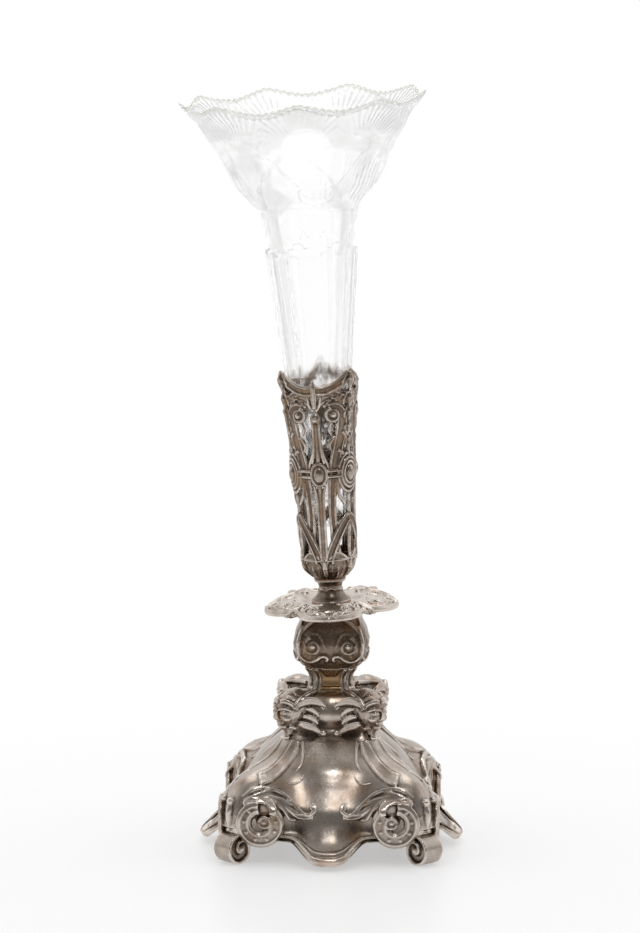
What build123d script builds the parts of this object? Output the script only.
from build123d import *
import os
from math import cos, pi, radians, sin

# Trumpet vase: a cut-glass trumpet in a pierced plated holder on a four-legged scroll foot.
# Millimetres, +Z up. The origin is on the table under the middle of the foot, and -Y is the front.
# Everything above the knop is modelled upright and then leaned as one, because the holder's
# worn screw joint lets it lean to the left. A lean of 0 stands it straight.

os.makedirs("parts", exist_ok=True)

# Fits and cuts shared by all pieces
overrun = 20.0
bore_gap = 0.12
glass_gap = 0.5
solder_gap = 0.06

# How the holder stands on the knop
holder_lean_deg = 3.2
holder_turn_deg = -7.0

# Foot: a square bell with a lip in the middle of each side
foot_height = 87.5
lip_reach = 73.5
lip_width = 15.0
lip_root_width = 62.0
lip_clearance = 4.3
apron_reach = 58.5
apron_clearance = 16.5
foot_wall = 2.4
crown_bore_radius = 10.0
crown_thickness = 9.0
face_shares = [
    (1.0, 0.09), (0.91, 0.13), (0.825, 0.195), (0.765, 0.275), (0.715, 0.365), (0.64, 0.46),
    (0.54, 0.55), (0.455, 0.65), (0.36, 0.73), (0.27, 0.772), (0.292, 0.845), (0.262, 0.925),
    (0.2, 0.985),
]
waist_shares = [
    (0.23, 1.0), (0.3, 0.94), (0.325, 0.87), (0.343, 0.806), (0.373, 0.754), (0.407, 0.703), (0.464, 0.651),
    (0.56, 0.615), (0.68, 0.59),
]
hollow_point_count = 9

# Corner legs: a ridge in the diagonal plane, two volutes on the faces beside it and a scroll foot
leg_reach = 83.0
leg_width = 25.0
leg_depth = 13.0
leg_round = 4.5
ridge_shares = [
    (0.43, 0.755), (0.47, 0.675), (0.57, 0.635), (0.68, 0.613), (0.8, 0.592), (0.9, 0.555), (0.96, 0.485),
    (0.99, 0.39), (0.995, 0.286), (0.975, 0.19),
]
leg_width_shares = [0.55, 0.56, 0.6, 0.68, 0.77, 0.86, 0.94, 1.0, 1.0, 0.97, 0.94]
scroll_centre_reach = 78.0
scroll_radius = 9.5
scroll_flat_depth = 0.35
scroll_width = 16.0
scroll_eye_radius = 3.2
scroll_eye_height = 1.6
scroll_groove_depth = 1.2
scroll_rim_width = 2.2
volute_offset = 37.0
volute_height = 24.0
volute_radius = 11.2
volute_face_reach = 62.0
volute_depth = 14.0
volute_rim_width = 2.4
volute_recess = 1.3
volute_eye_radius = 3.4
leaf_face_reach = 58.0
leaf_top_shares = [(-2.55, 0.45), (-1.9, 0.55), (-0.95, 1.3), (0.0, 1.55), (0.85, 1.6), (1.35, 0.9)]
leaf_back_shares = [(1.35, 0.9), (1.3, 0.2), (-0.8, -0.1), (-1.6, 0.0), (-2.55, 0.45)]

# Mask heads on the diagonals above the legs
mask_reach = 42.0
mask_height = 77.5
mask_chin_drop = 12.0
mask_half_width = 8.6
mask_half_length = 11.0
mask_depth = 10.5
hair_half_width = 10.5
hair_half_length = 9.0
hair_rise = 5.0
beard_half_width = 6.0
beard_half_length = 6.5
beard_drop = 9.0
nose_half_width = 1.7
nose_half_length = 3.4
nose_depth = 3.0

# Stem neck: a waisted square with a strap on each corner
neck_height = 13.5
neck_levels_shares = [(0.0, 0.93), (0.3, 0.84), (0.55, 0.82), (0.85, 0.97), (1.0, 1.08)]
neck_half_side = 13.6
neck_corner_share = 0.35
strap_width = 4.4
strap_shares = [(0.0, 1.28), (0.3, 1.14), (0.6, 1.17), (0.9, 1.42), (1.0, 1.46)]
strap_root_share = 0.9

# Knop: a four-sided cushion with a round cap that carries the plate
knop_height = 23.5
knop_half_side = 20.9
knop_corner_share = 0.45
knop_levels_shares = [(0.0, 0.79), (0.2, 0.93), (0.43, 1.0), (0.7, 0.98), (0.93, 0.88), (1.0, 0.76)]
knop_cap_height = 9.5
knop_cap_radius = 13.0
knop_volute_radius = 5.0
knop_volute_offset = 9.6
knop_volute_height = 10.5
knop_volute_proud = 1.0

# Four-lobed plate
plate_thickness = 2.2
plate_lobe_radius = 22.0
plate_lobe_offset = 15.5
plate_droop = 1.6
plate_flat_radius = 14.0
plate_leaf_reach = 34.0
plate_leaf_half_width = 4.0

# Pedestal and calyx of the holder
pedestal_height = 8.0
pedestal_radius = 10.8
pedestal_edge = 1.2
pedestal_neck_radius = 6.4
calyx_height = 16.5
calyx_radius = 15.5
calyx_wall = 1.6
calyx_floor = 6.5
calyx_shares = [(0.41, 0.0), (0.46, 0.2), (0.58, 0.34), (0.86, 0.6), (1.0, 1.0)]
calyx_ring_radius = 8.6
calyx_ring_thickness = 2.0
calyx_ring_height = 4.5
petal_count = 6
petal_thickness = 1.0
petal_rise = 3.6
petal_drop = 9.0

# Glass trumpet
glass_height = 237.0
glass_bottom_rise = 19.0
glass_sides = 6
glass_bottom_radius = 10.5
flute_height = 151.0
flute_radius = 26.5
flute_round = 2.2
cone_height = 24.0
cone_foot_radius = 22.6
cone_top_radius = 27.0
rim_radius = 68.0
rim_thickness = 2.2
glass_wall = 3.2
glass_floor = 13.0
bore_foot_radius = 5.6
flare_shares = [(0.24, 0.22), (0.46, 0.53), (0.71, 0.76), (1.0, 1.0)]
petal_cut_count = 3
petal_cut_proud = 2.4
petal_cut_top_share = 0.8
petal_cut_toe = 1.3
arch_height = 34.5
arch_half_width = 24.2
arch_shares = [(1.0, 0.0), (0.87, 0.17), (0.62, 0.63), (0.45, 0.77), (0.0, 1.0)]
scallop_count = 9
scallop_radius = 64.0
scallop_depth = 4.4

# Pierced sleeve of the holder
sleeve_panels = 3
sleeve_height = 105.5
sleeve_wall = 1.5
sleeve_foot_radius = 14.9
sleeve_shares = [(0.0, 0.0), (0.11, 0.05), (0.32, 0.223), (0.63, 0.47), (1.0, 1.0)]
crown_dip = 7.0
crown_mid_share = 0.72
dip_run_out_share = 0.2
window_shares = [
    [(-0.86, 0.5), (-0.5, 0.5), (-0.42, 0.6), (-0.6, 0.72), (-0.8, 0.76), (-0.88, 0.66)],
    [(-0.3, 0.63), (-0.14, 0.66), (-0.12, 0.82), (-0.3, 0.86), (-0.44, 0.78)],
    [(-0.86, 0.4), (-0.62, 0.4), (-0.56, 0.27), (-0.86, 0.1)],
    [(-0.42, 0.4), (-0.14, 0.36), (-0.12, 0.25), (-0.36, 0.22)],
    [(-0.6, 0.2), (-0.34, 0.15), (-0.3, 0.05), (-0.66, 0.05)],
    [(-0.2, 0.2), (-0.1, 0.2), (-0.1, 0.05), (-0.2, 0.05)],
]
cartouche_half_width = 6.4
cartouche_half_length = 9.6
cartouche_thickness = 1.6
cartouche_eye_share = 0.5
cartouche_height_share = 0.475
boss_half_width = 3.6
boss_half_length = 4.8
boss_thickness = 1.7
bud_half_width = 2.2
bud_half_length = 5.6
bud_thickness = 1.5
rib_thickness = 0.9
rib_half_deg = 7.0
boss_height_share = 0.465
bud_height_share = 0.9

# Screws that hold the stack together
rod_radius = 3.0
rod_knop_depth = 13.0
rod_tail = 3.0
washer_radius = 8.0
washer_thickness = 1.4
nut_across_flats = 10.0
nut_thickness = 5.0
screw_radius = 2.4
screw_knop_depth = 12.0
screw_head_radius = 4.6
screw_head_height = 2.6
screw_slot_width = 1.0
screw_slot_depth = 1.2

# Heights of the stack
knop_bottom = foot_height + neck_height
plate_seat = knop_bottom + knop_height + knop_cap_height
pedestal_bottom = plate_seat + plate_thickness
calyx_bottom = pedestal_bottom + pedestal_height
sleeve_bottom = calyx_bottom + calyx_height
sleeve_top = sleeve_bottom + sleeve_height
glass_bottom = sleeve_bottom + glass_bottom_rise
flute_top = glass_bottom + flute_height
cone_top = flute_top + cone_height
rim_top = glass_bottom + glass_height

mask_seat = mask_height - mask_chin_drop

quarter_turns = [90 * quarter for quarter in range(4)]
lean = (
    Pos(0, 0, plate_seat)
    * Rot(0, -holder_lean_deg, 0)
    * Pos(0, 0, -plate_seat)
    * Rot(0, 0, holder_turn_deg)
)
lean_only = Pos(0, 0, plate_seat) * Rot(0, -holder_lean_deg, 0) * Pos(0, 0, -plate_seat)


def hand_in(shape, name):
    """Label one finished piece and write it."""
    shape.label = name
    export_step(shape, f"parts/{name}.step")


def upright_plane(angle_deg):
    """Upright plane through the axis: its X points outwards at the angle from +X, its Y points up."""
    turn = radians(angle_deg)
    return Plane(origin=(0, 0, 0), x_dir=(cos(turn), sin(turn), 0), z_dir=(sin(turn), -cos(turn), 0))


def square_bell(side_points, base_height):
    """Solid with the same side outline on all four faces."""
    with BuildPart() as bell:
        for face, join in ((Plane.XZ, Mode.ADD), (Plane.YZ, Mode.INTERSECT)):
            with BuildSketch(face):
                with BuildLine():
                    side = Spline(side_points)
                    crown = Line(side @ 1, (0, (side @ 1).Y))
                    drop = Line(side @ 0, ((side @ 0).X, base_height))
                    base = Line(drop @ 1, (0, base_height))
                    Line(base @ 1, crown @ 1)
                make_face()
                mirror(about=Plane.YZ)
            extrude(amount=lip_reach, both=True, mode=join)
    return bell.part


def waist_body(inset):
    """Turned body that rounds the corners of the bell above the legs."""
    with BuildPart() as body:
        with BuildSketch(Plane.XZ):
            with BuildLine():
                waist = Spline([(r * leg_reach - inset, h * foot_height) for r, h in waist_shares])
                skirt = Line(waist @ 1, (leg_reach + overrun, (waist @ 1).Y))
                drop = Line(skirt @ 1, (leg_reach + overrun, -overrun))
                base = Line(drop @ 1, (0, -overrun))
                axis_line = Line(base @ 1, (0, foot_height))
                Line(axis_line @ 1, waist @ 0)
            make_face()
        revolve(axis=Axis.Z)
    return body.part


def cushion(levels, corner_share):
    """Loft through rounded squares, each given as its height and half side."""
    with BuildPart() as body:
        for height, half_side in levels:
            with BuildSketch(Plane.XY.offset(height)):
                RectangleRounded(2 * half_side, 2 * half_side, corner_share * half_side)
        loft()
    return body.part


def ellipsoid(centre, half_sizes):
    """Ball stretched to three half sizes."""
    ball = scale(Sphere(1, mode=Mode.PRIVATE), by=half_sizes, mode=Mode.PRIVATE)
    return Pos(*centre) * ball


def glass_corner_radius(height):
    """Radius of the fluted glass over its rounded corners at a height."""
    climb = (height - glass_bottom) / flute_height
    sharp_radius = glass_bottom_radius + climb * (flute_radius - glass_bottom_radius)
    corner_round = flute_round * sharp_radius / flute_radius
    return sharp_radius - corner_round * (1 / cos(pi / glass_sides) - 1)


# Foot shell
face_points = [(r * lip_reach, h * foot_height) for r, h in face_shares]
hollow_points = [(r - foot_wall, h - foot_wall) for r, h in face_points[:hollow_point_count]]
foot_bell = square_bell(face_points + [(neck_half_side, foot_height)], lip_clearance)

with BuildPart() as foot_hollow:
    add(square_bell(hollow_points, -overrun))
    add(waist_body(foot_wall), mode=Mode.INTERSECT)

with BuildSketch() as lip_tongue:
    with BuildLine():
        bow = Spline(
            [(lip_root_width / 2, -apron_reach), (lip_width / 2, -lip_reach)],
            tangents=[(-1, 0), (-1, 0)],
        )
        tip = Line(bow @ 1, (0, -lip_reach))
        middle = Line(tip @ 1, (0, -apron_reach))
        Line(middle @ 1, bow @ 0)
    make_face()
    mirror(about=Plane.YZ)

with BuildPart() as foot_core:
    add(foot_bell)
    add(waist_body(0), mode=Mode.INTERSECT)
    with BuildSketch():
        Rectangle(2 * apron_reach, 2 * apron_reach)
        for turn in quarter_turns:
            add(lip_tongue.sketch.rotate(Axis.Z, turn))
    extrude(amount=foot_height, mode=Mode.INTERSECT)

with BuildPart() as apron_cut:
    with BuildSketch(Plane.XZ.offset(lip_reach + overrun)):
        with BuildLine():
            wave = Spline(
                [(lip_width / 2, lip_clearance), (lip_root_width / 2, apron_clearance)],
                tangents=[(1, 0), (1, 0)],
            )
            level = Line(wave @ 1, (apron_reach + overrun, apron_clearance))
            outer = Line(level @ 1, (apron_reach + overrun, 0))
            floor = Line(outer @ 1, (lip_width / 2, 0))
            Line(floor @ 1, wave @ 0)
        make_face()
        mirror(about=Plane.YZ)
    extrude(amount=-(lip_reach + overrun - lip_root_width / 2))

with BuildPart() as foot_shell:
    add(foot_core.part)
    add(foot_hollow.part, mode=Mode.SUBTRACT)
    for turn in quarter_turns:
        add(apron_cut.part.rotate(Axis.Z, turn), mode=Mode.SUBTRACT)
    with BuildSketch():
        Circle(crown_bore_radius)
    extrude(amount=foot_height - crown_thickness, mode=Mode.SUBTRACT)
    with BuildSketch():
        Circle(rod_radius + bore_gap)
    extrude(amount=foot_height + overrun, mode=Mode.SUBTRACT)
hand_in(foot_shell.part, "foot_shell")

# Corner legs
leg_plane = upright_plane(-45)
scroll_centre = (scroll_centre_reach, scroll_radius - scroll_flat_depth)
ridge_points = [(r * leg_reach, h * foot_height) for r, h in ridge_shares]

with BuildLine(leg_plane) as ridge_line:
    Spline(ridge_points)
ridge = ridge_line.edges()[0]

with BuildPart() as corner_leg:
    for station, width_share in enumerate(leg_width_shares):
        along = station / (len(leg_width_shares) - 1)
        section = Plane(ridge.position_at(along), x_dir=leg_plane.z_dir, z_dir=ridge.tangent_at(along))
        with BuildSketch(section):
            with Locations((0, leg_depth / 2)):
                RectangleRounded(width_share * leg_width, leg_depth, leg_round)
    loft(ruled=True)
    with BuildSketch(leg_plane):
        with Locations(scroll_centre):
            Circle(scroll_radius)
    extrude(amount=scroll_width / 2, both=True)
    for side in (1, -1):
        cheek = leg_plane.offset(side * scroll_width / 2)
        with BuildSketch(cheek):
            with Locations(scroll_centre):
                Circle(scroll_radius - scroll_rim_width)
                Circle(scroll_eye_radius, mode=Mode.SUBTRACT)
        extrude(amount=-side * scroll_groove_depth, mode=Mode.SUBTRACT)
        with BuildSketch(cheek):
            with Locations(scroll_centre):
                Circle(scroll_eye_radius)
        extrude(amount=side * scroll_eye_height)
    for face, side in ((Plane.XZ.offset(leaf_face_reach), 1), (Plane.YZ.offset(leaf_face_reach), -1)):
        leaf_edges = []
        for edge_shares in (leaf_top_shares, leaf_back_shares):
            leaf_edges.append(
                [
                    (side * (volute_offset + x * volute_radius), volute_height + y * volute_radius)
                    for x, y in edge_shares
                ]
            )
        with BuildSketch(face):
            with BuildLine():
                Spline(leaf_edges[0])
                Polyline(leaf_edges[1])
            make_face()
        extrude(amount=-volute_depth)
    front_face = Plane.XZ.offset(volute_face_reach)
    right_face = Plane.YZ.offset(volute_face_reach)
    for face, across in ((front_face, volute_offset), (right_face, -volute_offset)):
        with BuildSketch(face):
            with Locations((across, volute_height)):
                Circle(volute_radius)
        extrude(amount=-volute_depth)
        with BuildSketch(face):
            with Locations((across, volute_height)):
                Circle(volute_radius - volute_rim_width)
                Circle(volute_eye_radius, mode=Mode.SUBTRACT)
        extrude(amount=-volute_recess, mode=Mode.SUBTRACT)
    add(foot_core.part, mode=Mode.SUBTRACT)
    split(bisect_by=Plane.XY, keep=Keep.TOP)
    split(bisect_by=Plane.XY.offset(mask_seat), keep=Keep.BOTTOM)
    add(corner_leg.solids().sort_by(SortBy.VOLUME)[:-1], mode=Mode.SUBTRACT)
for number, turn in enumerate(quarter_turns, start=1):
    hand_in(corner_leg.part.rotate(Axis.Z, turn), f"corner_leg_{number}")

# Mask heads
mask_centre_reach = mask_reach - mask_depth
with BuildPart() as mask_head:
    add(ellipsoid((mask_centre_reach, 0, mask_height), (mask_depth, mask_half_width, mask_half_length)))
    hair_centre = (mask_centre_reach - hair_rise, 0, mask_height + hair_rise)
    add(ellipsoid(hair_centre, (mask_depth, hair_half_width, hair_half_length)))
    beard_centre = (mask_centre_reach, 0, mask_height - beard_drop)
    add(ellipsoid(beard_centre, (mask_depth, beard_half_width, beard_half_length)))
    nose_centre = (mask_reach - nose_depth / 2, 0, mask_height)
    add(ellipsoid(nose_centre, (nose_depth, nose_half_width, nose_half_length)))
mask_blank = mask_head.part.rotate(Axis.Z, -45)

with BuildPart() as mask:
    add(mask_blank)
    add(foot_core.part, mode=Mode.SUBTRACT)
    split(bisect_by=Plane.XY.offset(mask_seat), keep=Keep.TOP)
    split(bisect_by=Plane.XY.offset(foot_height), keep=Keep.BOTTOM)
    add(mask.solids().sort_by(SortBy.VOLUME)[:-1], mode=Mode.SUBTRACT)
for number, turn in enumerate(quarter_turns, start=1):
    hand_in(mask.part.rotate(Axis.Z, turn), f"mask_{number}")

# Stem neck
neck_levels = [(foot_height + h * neck_height, s * neck_half_side) for h, s in neck_levels_shares]
strap_points = [(s * neck_half_side, foot_height + h * neck_height) for h, s in strap_shares]
strap_root = strap_root_share * neck_half_side
with BuildPart() as stem_neck:
    add(cushion(neck_levels, neck_corner_share))
    for turn in quarter_turns:
        with BuildSketch(upright_plane(turn + 45)):
            with BuildLine():
                strap = Spline(strap_points)
                head = Line(strap @ 1, (strap_root, (strap @ 1).Y))
                back = Line(head @ 1, (strap_root, (strap @ 0).Y))
                Line(back @ 1, strap @ 0)
            make_face()
        extrude(amount=strap_width / 2, both=True)
    with BuildSketch(Plane.XY.offset(foot_height)):
        Circle(rod_radius + bore_gap)
    extrude(amount=neck_height, mode=Mode.SUBTRACT)
hand_in(stem_neck.part, "stem_neck")

# Knop, with its cap cut to the lean of the plate
knop_levels = [(knop_bottom + h * knop_height, s * knop_half_side) for h, s in knop_levels_shares]
cap_plane = Plane(lean_only)
with BuildPart() as knop:
    add(cushion(knop_levels, knop_corner_share))
    with BuildSketch(Plane.XY.offset(knop_bottom + knop_height / 2)):
        Circle(knop_cap_radius)
    extrude(amount=knop_height / 2 + 2 * knop_cap_height)
    split(bisect_by=cap_plane.offset(plate_seat), keep=Keep.BOTTOM)
    for turn in quarter_turns:
        for side in (1, -1):
            with BuildSketch(upright_plane(turn).offset(knop_half_side - knop_volute_proud)):
                with Locations((side * knop_volute_offset, knop_bottom + knop_volute_height)):
                    Circle(knop_volute_radius)
            extrude(amount=2 * knop_volute_proud)
    with BuildSketch(Plane.XY.offset(knop_bottom)):
        Circle(rod_radius + bore_gap)
    extrude(amount=rod_knop_depth + bore_gap, mode=Mode.SUBTRACT)
    with BuildSketch(cap_plane.offset(plate_seat)):
        Circle(screw_radius + bore_gap)
    extrude(amount=-(screw_knop_depth + bore_gap), mode=Mode.SUBTRACT)
hand_in(knop.part, "knop")

# Plate
plate_reach = plate_lobe_offset + plate_lobe_radius
with BuildSketch() as plate_outline:
    for turn in quarter_turns:
        with Locations((plate_lobe_offset * cos(radians(turn)), plate_lobe_offset * sin(radians(turn)))):
            Circle(plate_lobe_radius)
    leaf = Polygon(
        (0, -plate_leaf_half_width), (plate_leaf_reach, 0), (0, plate_leaf_half_width),
        align=None, mode=Mode.PRIVATE,
    )
    for turn in quarter_turns:
        add(leaf.rotate(Axis.Z, turn + 45))

with BuildPart() as collar_plate:
    with BuildSketch(Plane.XZ):
        with BuildLine():
            upper = Line((0, plate_thickness), (plate_flat_radius, plate_thickness))
            dome = Spline(
                [(plate_flat_radius, plate_thickness), (plate_reach, plate_thickness - plate_droop)],
                tangents=[(1, 0), (plate_reach - plate_flat_radius, -2 * plate_droop)],
            )
            edge = Line(dome @ 1, (plate_reach, -plate_droop))
            belly = Spline(
                [(plate_reach, -plate_droop), (plate_flat_radius, 0)],
                tangents=[(plate_flat_radius - plate_reach, 2 * plate_droop), (-1, 0)],
            )
            lower = Line(belly @ 1, (0, 0))
            Line(lower @ 1, upper @ 0)
        make_face()
    revolve(axis=Axis.Z)
    with BuildSketch(Plane.XY.offset(-plate_thickness - plate_droop)):
        add(plate_outline.sketch)
    extrude(amount=2 * (plate_thickness + plate_droop), mode=Mode.INTERSECT)
    with BuildSketch(Plane.XY.offset(-plate_thickness)):
        Circle(screw_radius + bore_gap)
    extrude(amount=3 * plate_thickness, mode=Mode.SUBTRACT)
hand_in(collar_plate.part.moved(lean_only * Pos(0, 0, plate_seat)), "collar_plate")

# Pedestal
with BuildPart() as pedestal:
    with BuildSketch(Plane.XZ):
        with BuildLine():
            base = Line((0, pedestal_bottom), (pedestal_radius, pedestal_bottom))
            rim = Line(base @ 1, (pedestal_radius, pedestal_bottom + pedestal_edge))
            flare = Spline(
                [rim @ 1, (pedestal_neck_radius, calyx_bottom)],
                tangents=[(-1, pedestal_edge / pedestal_radius), (0, 1)],
            )
            crown = Line(flare @ 1, (0, calyx_bottom))
            Line(crown @ 1, base @ 0)
        make_face()
    revolve(axis=Axis.Z)
    with BuildSketch(Plane.XY.offset(pedestal_bottom)):
        Circle(screw_radius + bore_gap)
    extrude(amount=pedestal_height, mode=Mode.SUBTRACT)
hand_in(pedestal.part.moved(lean), "pedestal")

# Calyx cup with its petals
calyx_points = [(r * calyx_radius, calyx_bottom + h * calyx_height) for r, h in calyx_shares]
cup_floor = calyx_bottom + calyx_floor
cup_points = [(screw_head_radius + calyx_wall, cup_floor)]
cup_points += [(r - calyx_wall, h) for r, h in calyx_points if h > cup_floor + calyx_wall]
petal_inner = calyx_radius + solder_gap
petal_foot = sleeve_bottom - petal_drop
with BuildPart() as calyx_cup:
    with BuildSketch(Plane.XZ):
        with BuildLine():
            side = Spline(calyx_points)
            top = Line(side @ 1, (0, sleeve_bottom))
            axis_line = Line(top @ 1, (0, calyx_bottom))
            Line(axis_line @ 1, side @ 0)
        make_face()
        with Locations((calyx_ring_radius / 2, calyx_bottom + calyx_ring_height)):
            Rectangle(calyx_ring_radius, calyx_ring_thickness)
        with BuildLine():
            leaf = Spline(
                [(petal_inner - calyx_wall, petal_foot), (petal_inner + petal_thickness, sleeve_bottom),
                 (petal_inner, sleeve_bottom + petal_rise)]
            )
            inside = Line(leaf @ 1, (petal_inner, sleeve_bottom - calyx_wall))
            root = Line(inside @ 1, (petal_inner - calyx_wall, sleeve_bottom - calyx_wall))
            Line(root @ 1, leaf @ 0)
        make_face()
    revolve(axis=Axis.Z)
    with BuildSketch(Plane.XZ):
        with BuildLine():
            side = Spline(cup_points)
            top = Line(side @ 1, (0, (side @ 1).Y))
            axis_line = Line(top @ 1, (0, cup_floor))
            Line(axis_line @ 1, side @ 0)
        make_face()
    revolve(axis=Axis.Z, mode=Mode.SUBTRACT)
    for number in range(petal_count):
        gap_angle = 360 / petal_count * (number + 1 / 2)
        with BuildSketch(upright_plane(gap_angle)):
            with Locations((0, sleeve_bottom + petal_rise)):
                Polygon(
                    (-petal_rise, 0), (petal_rise, 0), (0, -petal_rise),
                    align=None,
                )
        extrude(amount=calyx_radius + overrun, mode=Mode.SUBTRACT)
    with BuildSketch(Plane.XY.offset(calyx_bottom)):
        Circle(screw_radius + bore_gap)
    extrude(amount=calyx_height, mode=Mode.SUBTRACT)
hand_in(calyx_cup.part.moved(lean), "calyx_cup")

# Pierced sleeve, one panel at the front and then its copies
crown_seat = sleeve_top - crown_mid_share * crown_dip
sleeve_top_radius = glass_corner_radius(crown_seat) + glass_gap + sleeve_wall
sleeve_points = [
    (sleeve_foot_radius + r * (sleeve_top_radius - sleeve_foot_radius), sleeve_bottom + h * sleeve_height)
    for r, h in sleeve_shares
]
sleeve_mean_radius = (sleeve_foot_radius + sleeve_top_radius) / 2
half_panel_deg = 180 / sleeve_panels


def sleeve_radius(height):
    """Outer radius of the sleeve at a height, straight between the outline's points."""
    for (low_r, low_h), (high_r, high_h) in zip(sleeve_points, sleeve_points[1:]):
        if height <= high_h:
            return low_r + (high_r - low_r) * (height - low_h) / (high_h - low_h)
    return sleeve_top_radius


def sleeve_half_face(plane, inset):
    """Face between the axis and the sleeve's side, drawn on an upright plane."""
    with BuildSketch(plane) as half:
        with BuildLine():
            side = Spline([(r - inset, h) for r, h in sleeve_points])
            top = Line(side @ 1, (0, sleeve_top))
            axis_line = Line(top @ 1, (0, sleeve_bottom))
            Line(axis_line @ 1, side @ 0)
        make_face()
    return half.sketch


with BuildPart() as sleeve_core:
    revolve(sleeve_half_face(Plane.XZ, 0), axis=Axis.Z)

with BuildPart() as sleeve_panel:
    edge_plane = upright_plane(-90 - half_panel_deg)
    revolve(sleeve_half_face(edge_plane, 0), axis=Axis.Z, revolution_arc=2 * half_panel_deg)
    revolve(sleeve_half_face(Plane.XZ, sleeve_wall), axis=Axis.Z, mode=Mode.SUBTRACT)
    for side in (1, -1):
        for window in window_shares:
            middle_deg = side * half_panel_deg * sum(across for across, _ in window) / len(window)
            with BuildSketch(upright_plane(middle_deg)):
                Polygon(
                    *[
                        (
                            sleeve_mean_radius * radians(side * half_panel_deg * across - middle_deg),
                            sleeve_bottom + up * sleeve_height,
                        )
                        for across, up in window
                    ],
                    align=None,
                )
            extrude(amount=sleeve_top_radius + overrun, mode=Mode.SUBTRACT)
        half_span = sleeve_top_radius * radians(half_panel_deg) / 2
        with BuildSketch(upright_plane(side * half_panel_deg / 2)):
            with BuildLine():
                dip = ThreePointArc(
                    (-side * half_span, sleeve_top),
                    (0, sleeve_top - crown_mid_share * crown_dip),
                    (side * half_span * (1 + dip_run_out_share), sleeve_top - crown_dip),
                )
                rise = Line(dip @ 1, (side * half_span * (1 + dip_run_out_share), sleeve_top + overrun))
                over = Line(rise @ 1, (-side * half_span, sleeve_top + overrun))
                Line(over @ 1, dip @ 0)
            make_face()
        extrude(amount=sleeve_top_radius + overrun, mode=Mode.SUBTRACT)
    cartouche_height = sleeve_bottom + cartouche_height_share * sleeve_height
    cartouche_reach = sleeve_radius(cartouche_height)
    with BuildSketch(upright_plane(0).offset(cartouche_reach + cartouche_thickness)):
        with Locations((0, cartouche_height)):
            Ellipse(cartouche_half_width, cartouche_half_length)
    extrude(amount=-2 * cartouche_thickness)
    add(
        ellipsoid(
            (0, -cartouche_reach - cartouche_thickness, cartouche_height),
            (
                cartouche_eye_share * cartouche_half_width,
                cartouche_thickness,
                cartouche_eye_share * cartouche_half_length,
            ),
        )
    )
for number in range(sleeve_panels):
    panel_turn = half_panel_deg + 2 * half_panel_deg * number
    hand_in(sleeve_panel.part.rotate(Axis.Z, panel_turn).moved(lean), f"sleeve_panel_{number + 1}")

# Ribs over the seams of the sleeve, each with an oval boss and a bud
boss_height = sleeve_bottom + boss_height_share * sleeve_height
bud_height = sleeve_bottom + bud_height_share * sleeve_height
with BuildPart() as seam_rib:
    rib_plane = upright_plane(-90 - rib_half_deg)
    revolve(sleeve_half_face(rib_plane, -rib_thickness), axis=Axis.Z, revolution_arc=2 * rib_half_deg)
    split(bisect_by=Plane.XY.offset(bud_height), keep=Keep.BOTTOM)
    split(bisect_by=Plane.XY.offset(sleeve_bottom + petal_rise + rib_thickness), keep=Keep.TOP)
    boss_half_sizes = (boss_half_width, boss_thickness, boss_half_length)
    add(ellipsoid((0, -sleeve_radius(boss_height) - rib_thickness, boss_height), boss_half_sizes))
    bud_half_sizes = (bud_half_width, bud_thickness, bud_half_length)
    add(ellipsoid((0, -sleeve_radius(bud_height) - rib_thickness, bud_height), bud_half_sizes))
    add(sleeve_core.part, mode=Mode.SUBTRACT)
for number in range(sleeve_panels):
    hand_in(seam_rib.part.rotate(Axis.Z, 2 * half_panel_deg * number).moved(lean), f"seam_rib_{number + 1}")

# Glass trumpet
flare_height = rim_top - cone_top
flare_points = [
    (cone_top_radius + r * (rim_radius - cone_top_radius), cone_top + h * flare_height)
    for r, h in flare_shares
]
flute_flat_radius = cone_foot_radius - glass_wall
bore_points = [(r - glass_wall, h + rim_thickness) for r, h in flare_points[:-1]]
lip_inner = (rim_radius - rim_thickness, rim_top + rim_thickness / 2)
scallop_start_deg = -90 - holder_turn_deg + 180 / scallop_count


def trumpet_half_face(stand_out):
    """Face between the axis and the outside of the smooth glass."""
    with BuildSketch(Plane.XZ) as half:
        with BuildLine():
            cone = Line((cone_foot_radius + stand_out, flute_top), (cone_top_radius + stand_out, cone_top))
            flare = Spline([cone @ 1] + [(r + stand_out, h) for r, h in flare_points])
            lip = Line(flare @ 1, (lip_inner[0] + stand_out, lip_inner[1]))
            top = Line(lip @ 1, (0, lip_inner[1]))
            axis_line = Line(top @ 1, (0, flute_top))
            Line(axis_line @ 1, cone @ 0)
        make_face()
    return half.sketch


arch_foot = cone_top + petal_cut_toe
arch_points = [(x * arch_half_width, arch_foot + h * arch_height) for x, h in arch_shares]
with BuildPart() as petal_cuts:
    revolve(trumpet_half_face(petal_cut_proud), axis=Axis.Z)
    split(bisect_by=Plane.XY.offset(cone_top + petal_cut_top_share * flare_height), keep=Keep.BOTTOM)
    split(bisect_by=Plane.XY.offset(arch_foot), keep=Keep.TOP)
    for number in range(petal_cut_count):
        with BuildSketch(upright_plane(360 / petal_cut_count * number)):
            with BuildLine():
                side = Spline(arch_points)
                Line(side @ 1, (0, arch_foot))
                Line((0, arch_foot), side @ 0)
            make_face()
            mirror(about=Plane.YZ)
        extrude(amount=rim_radius, mode=Mode.SUBTRACT)

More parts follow.
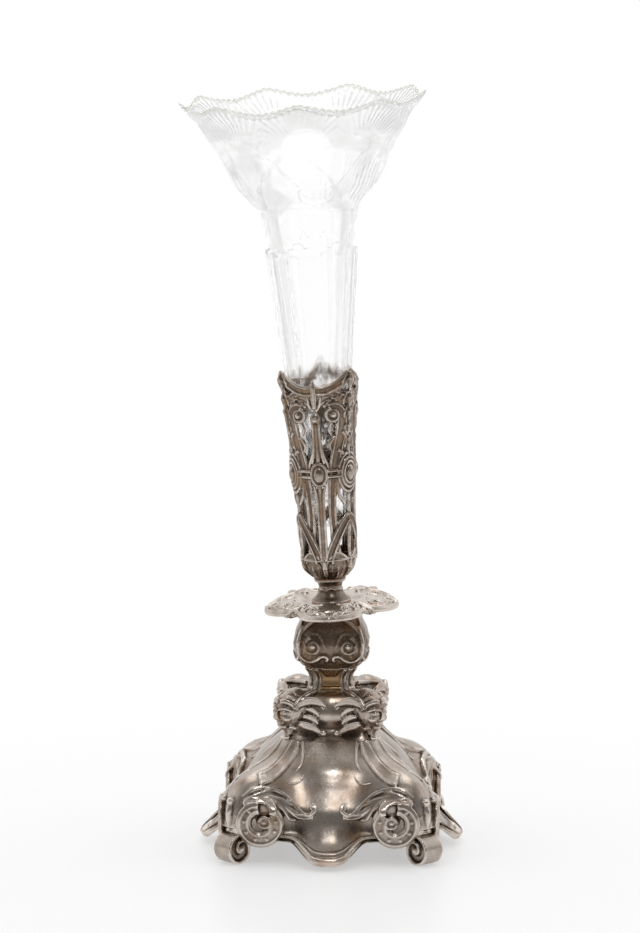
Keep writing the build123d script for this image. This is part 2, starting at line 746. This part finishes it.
with BuildPart() as glass_trumpet:
    for height, corner_radius in ((glass_bottom, glass_bottom_radius), (flute_top, flute_radius)):
        with BuildSketch(Plane.XY.offset(height)):
            RegularPolygon(corner_radius, glass_sides)
            fillet(vertices(), radius=flute_round * corner_radius / flute_radius)
    loft()
    revolve(trumpet_half_face(0), axis=Axis.Z)
    add(petal_cuts.part)
    with BuildSketch(Plane.XZ):
        with BuildLine():
            well = Line(
                (bore_foot_radius, glass_bottom + glass_floor),
                (flute_flat_radius, flute_top),
            )
            cone = Line(well @ 1, (cone_top_radius - glass_wall, cone_top))
            flare = Spline([cone @ 1] + bore_points + [lip_inner])
            rise = Line(flare @ 1, (lip_inner[0], rim_top + overrun))
            over = Line(rise @ 1, (0, rim_top + overrun))
            axis_line = Line(over @ 1, (0, glass_bottom + glass_floor))
            Line(axis_line @ 1, well @ 0)
        make_face()
    revolve(axis=Axis.Z, mode=Mode.SUBTRACT)
    with Locations((0, 0, rim_top + scallop_radius - scallop_depth)):
        with PolarLocations(rim_radius, scallop_count, start_angle=scallop_start_deg):
            Cylinder(scallop_radius, rim_radius, rotation=(0, 90, 0), mode=Mode.SUBTRACT)
hand_in(glass_trumpet.part.moved(lean), "glass_trumpet")

# Holder screw, from the calyx floor down into the knop
with BuildPart() as holder_screw:
    with BuildSketch(Plane.XY.offset(plate_seat - screw_knop_depth)):
        Circle(screw_radius)
    extrude(amount=cup_floor - plate_seat + screw_knop_depth)
    with BuildSketch(Plane.XY.offset(cup_floor)):
        Circle(screw_head_radius)
    extrude(amount=screw_head_height)
    with BuildSketch(Plane.XY.offset(cup_floor + screw_head_height)):
        Rectangle(2 * screw_head_radius, screw_slot_width)
    extrude(amount=-screw_slot_depth, mode=Mode.SUBTRACT)
hand_in(holder_screw.part.moved(lean), "holder_screw")

# Foot rod with its washer and nut under the crown of the foot
crown_roof = foot_height - crown_thickness
nut_top = crown_roof - washer_thickness
rod_bottom = nut_top - nut_thickness - rod_tail
with BuildPart() as foot_rod:
    with BuildSketch(Plane.XY.offset(rod_bottom)):
        Circle(rod_radius)
    extrude(amount=knop_bottom + rod_knop_depth - rod_bottom)
hand_in(foot_rod.part, "foot_rod")

with BuildPart() as foot_washer:
    with BuildSketch(Plane.XY.offset(nut_top)):
        Circle(washer_radius)
        Circle(rod_radius + bore_gap, mode=Mode.SUBTRACT)
    extrude(amount=washer_thickness)
hand_in(foot_washer.part, "foot_washer")

with BuildPart() as foot_nut:
    with BuildSketch(Plane.XY.offset(nut_top - nut_thickness)):
        RegularPolygon(nut_across_flats / 2, 6, major_radius=False)
        Circle(rod_radius + bore_gap, mode=Mode.SUBTRACT)
    extrude(amount=nut_thickness)
hand_in(foot_nut.part, "foot_nut")
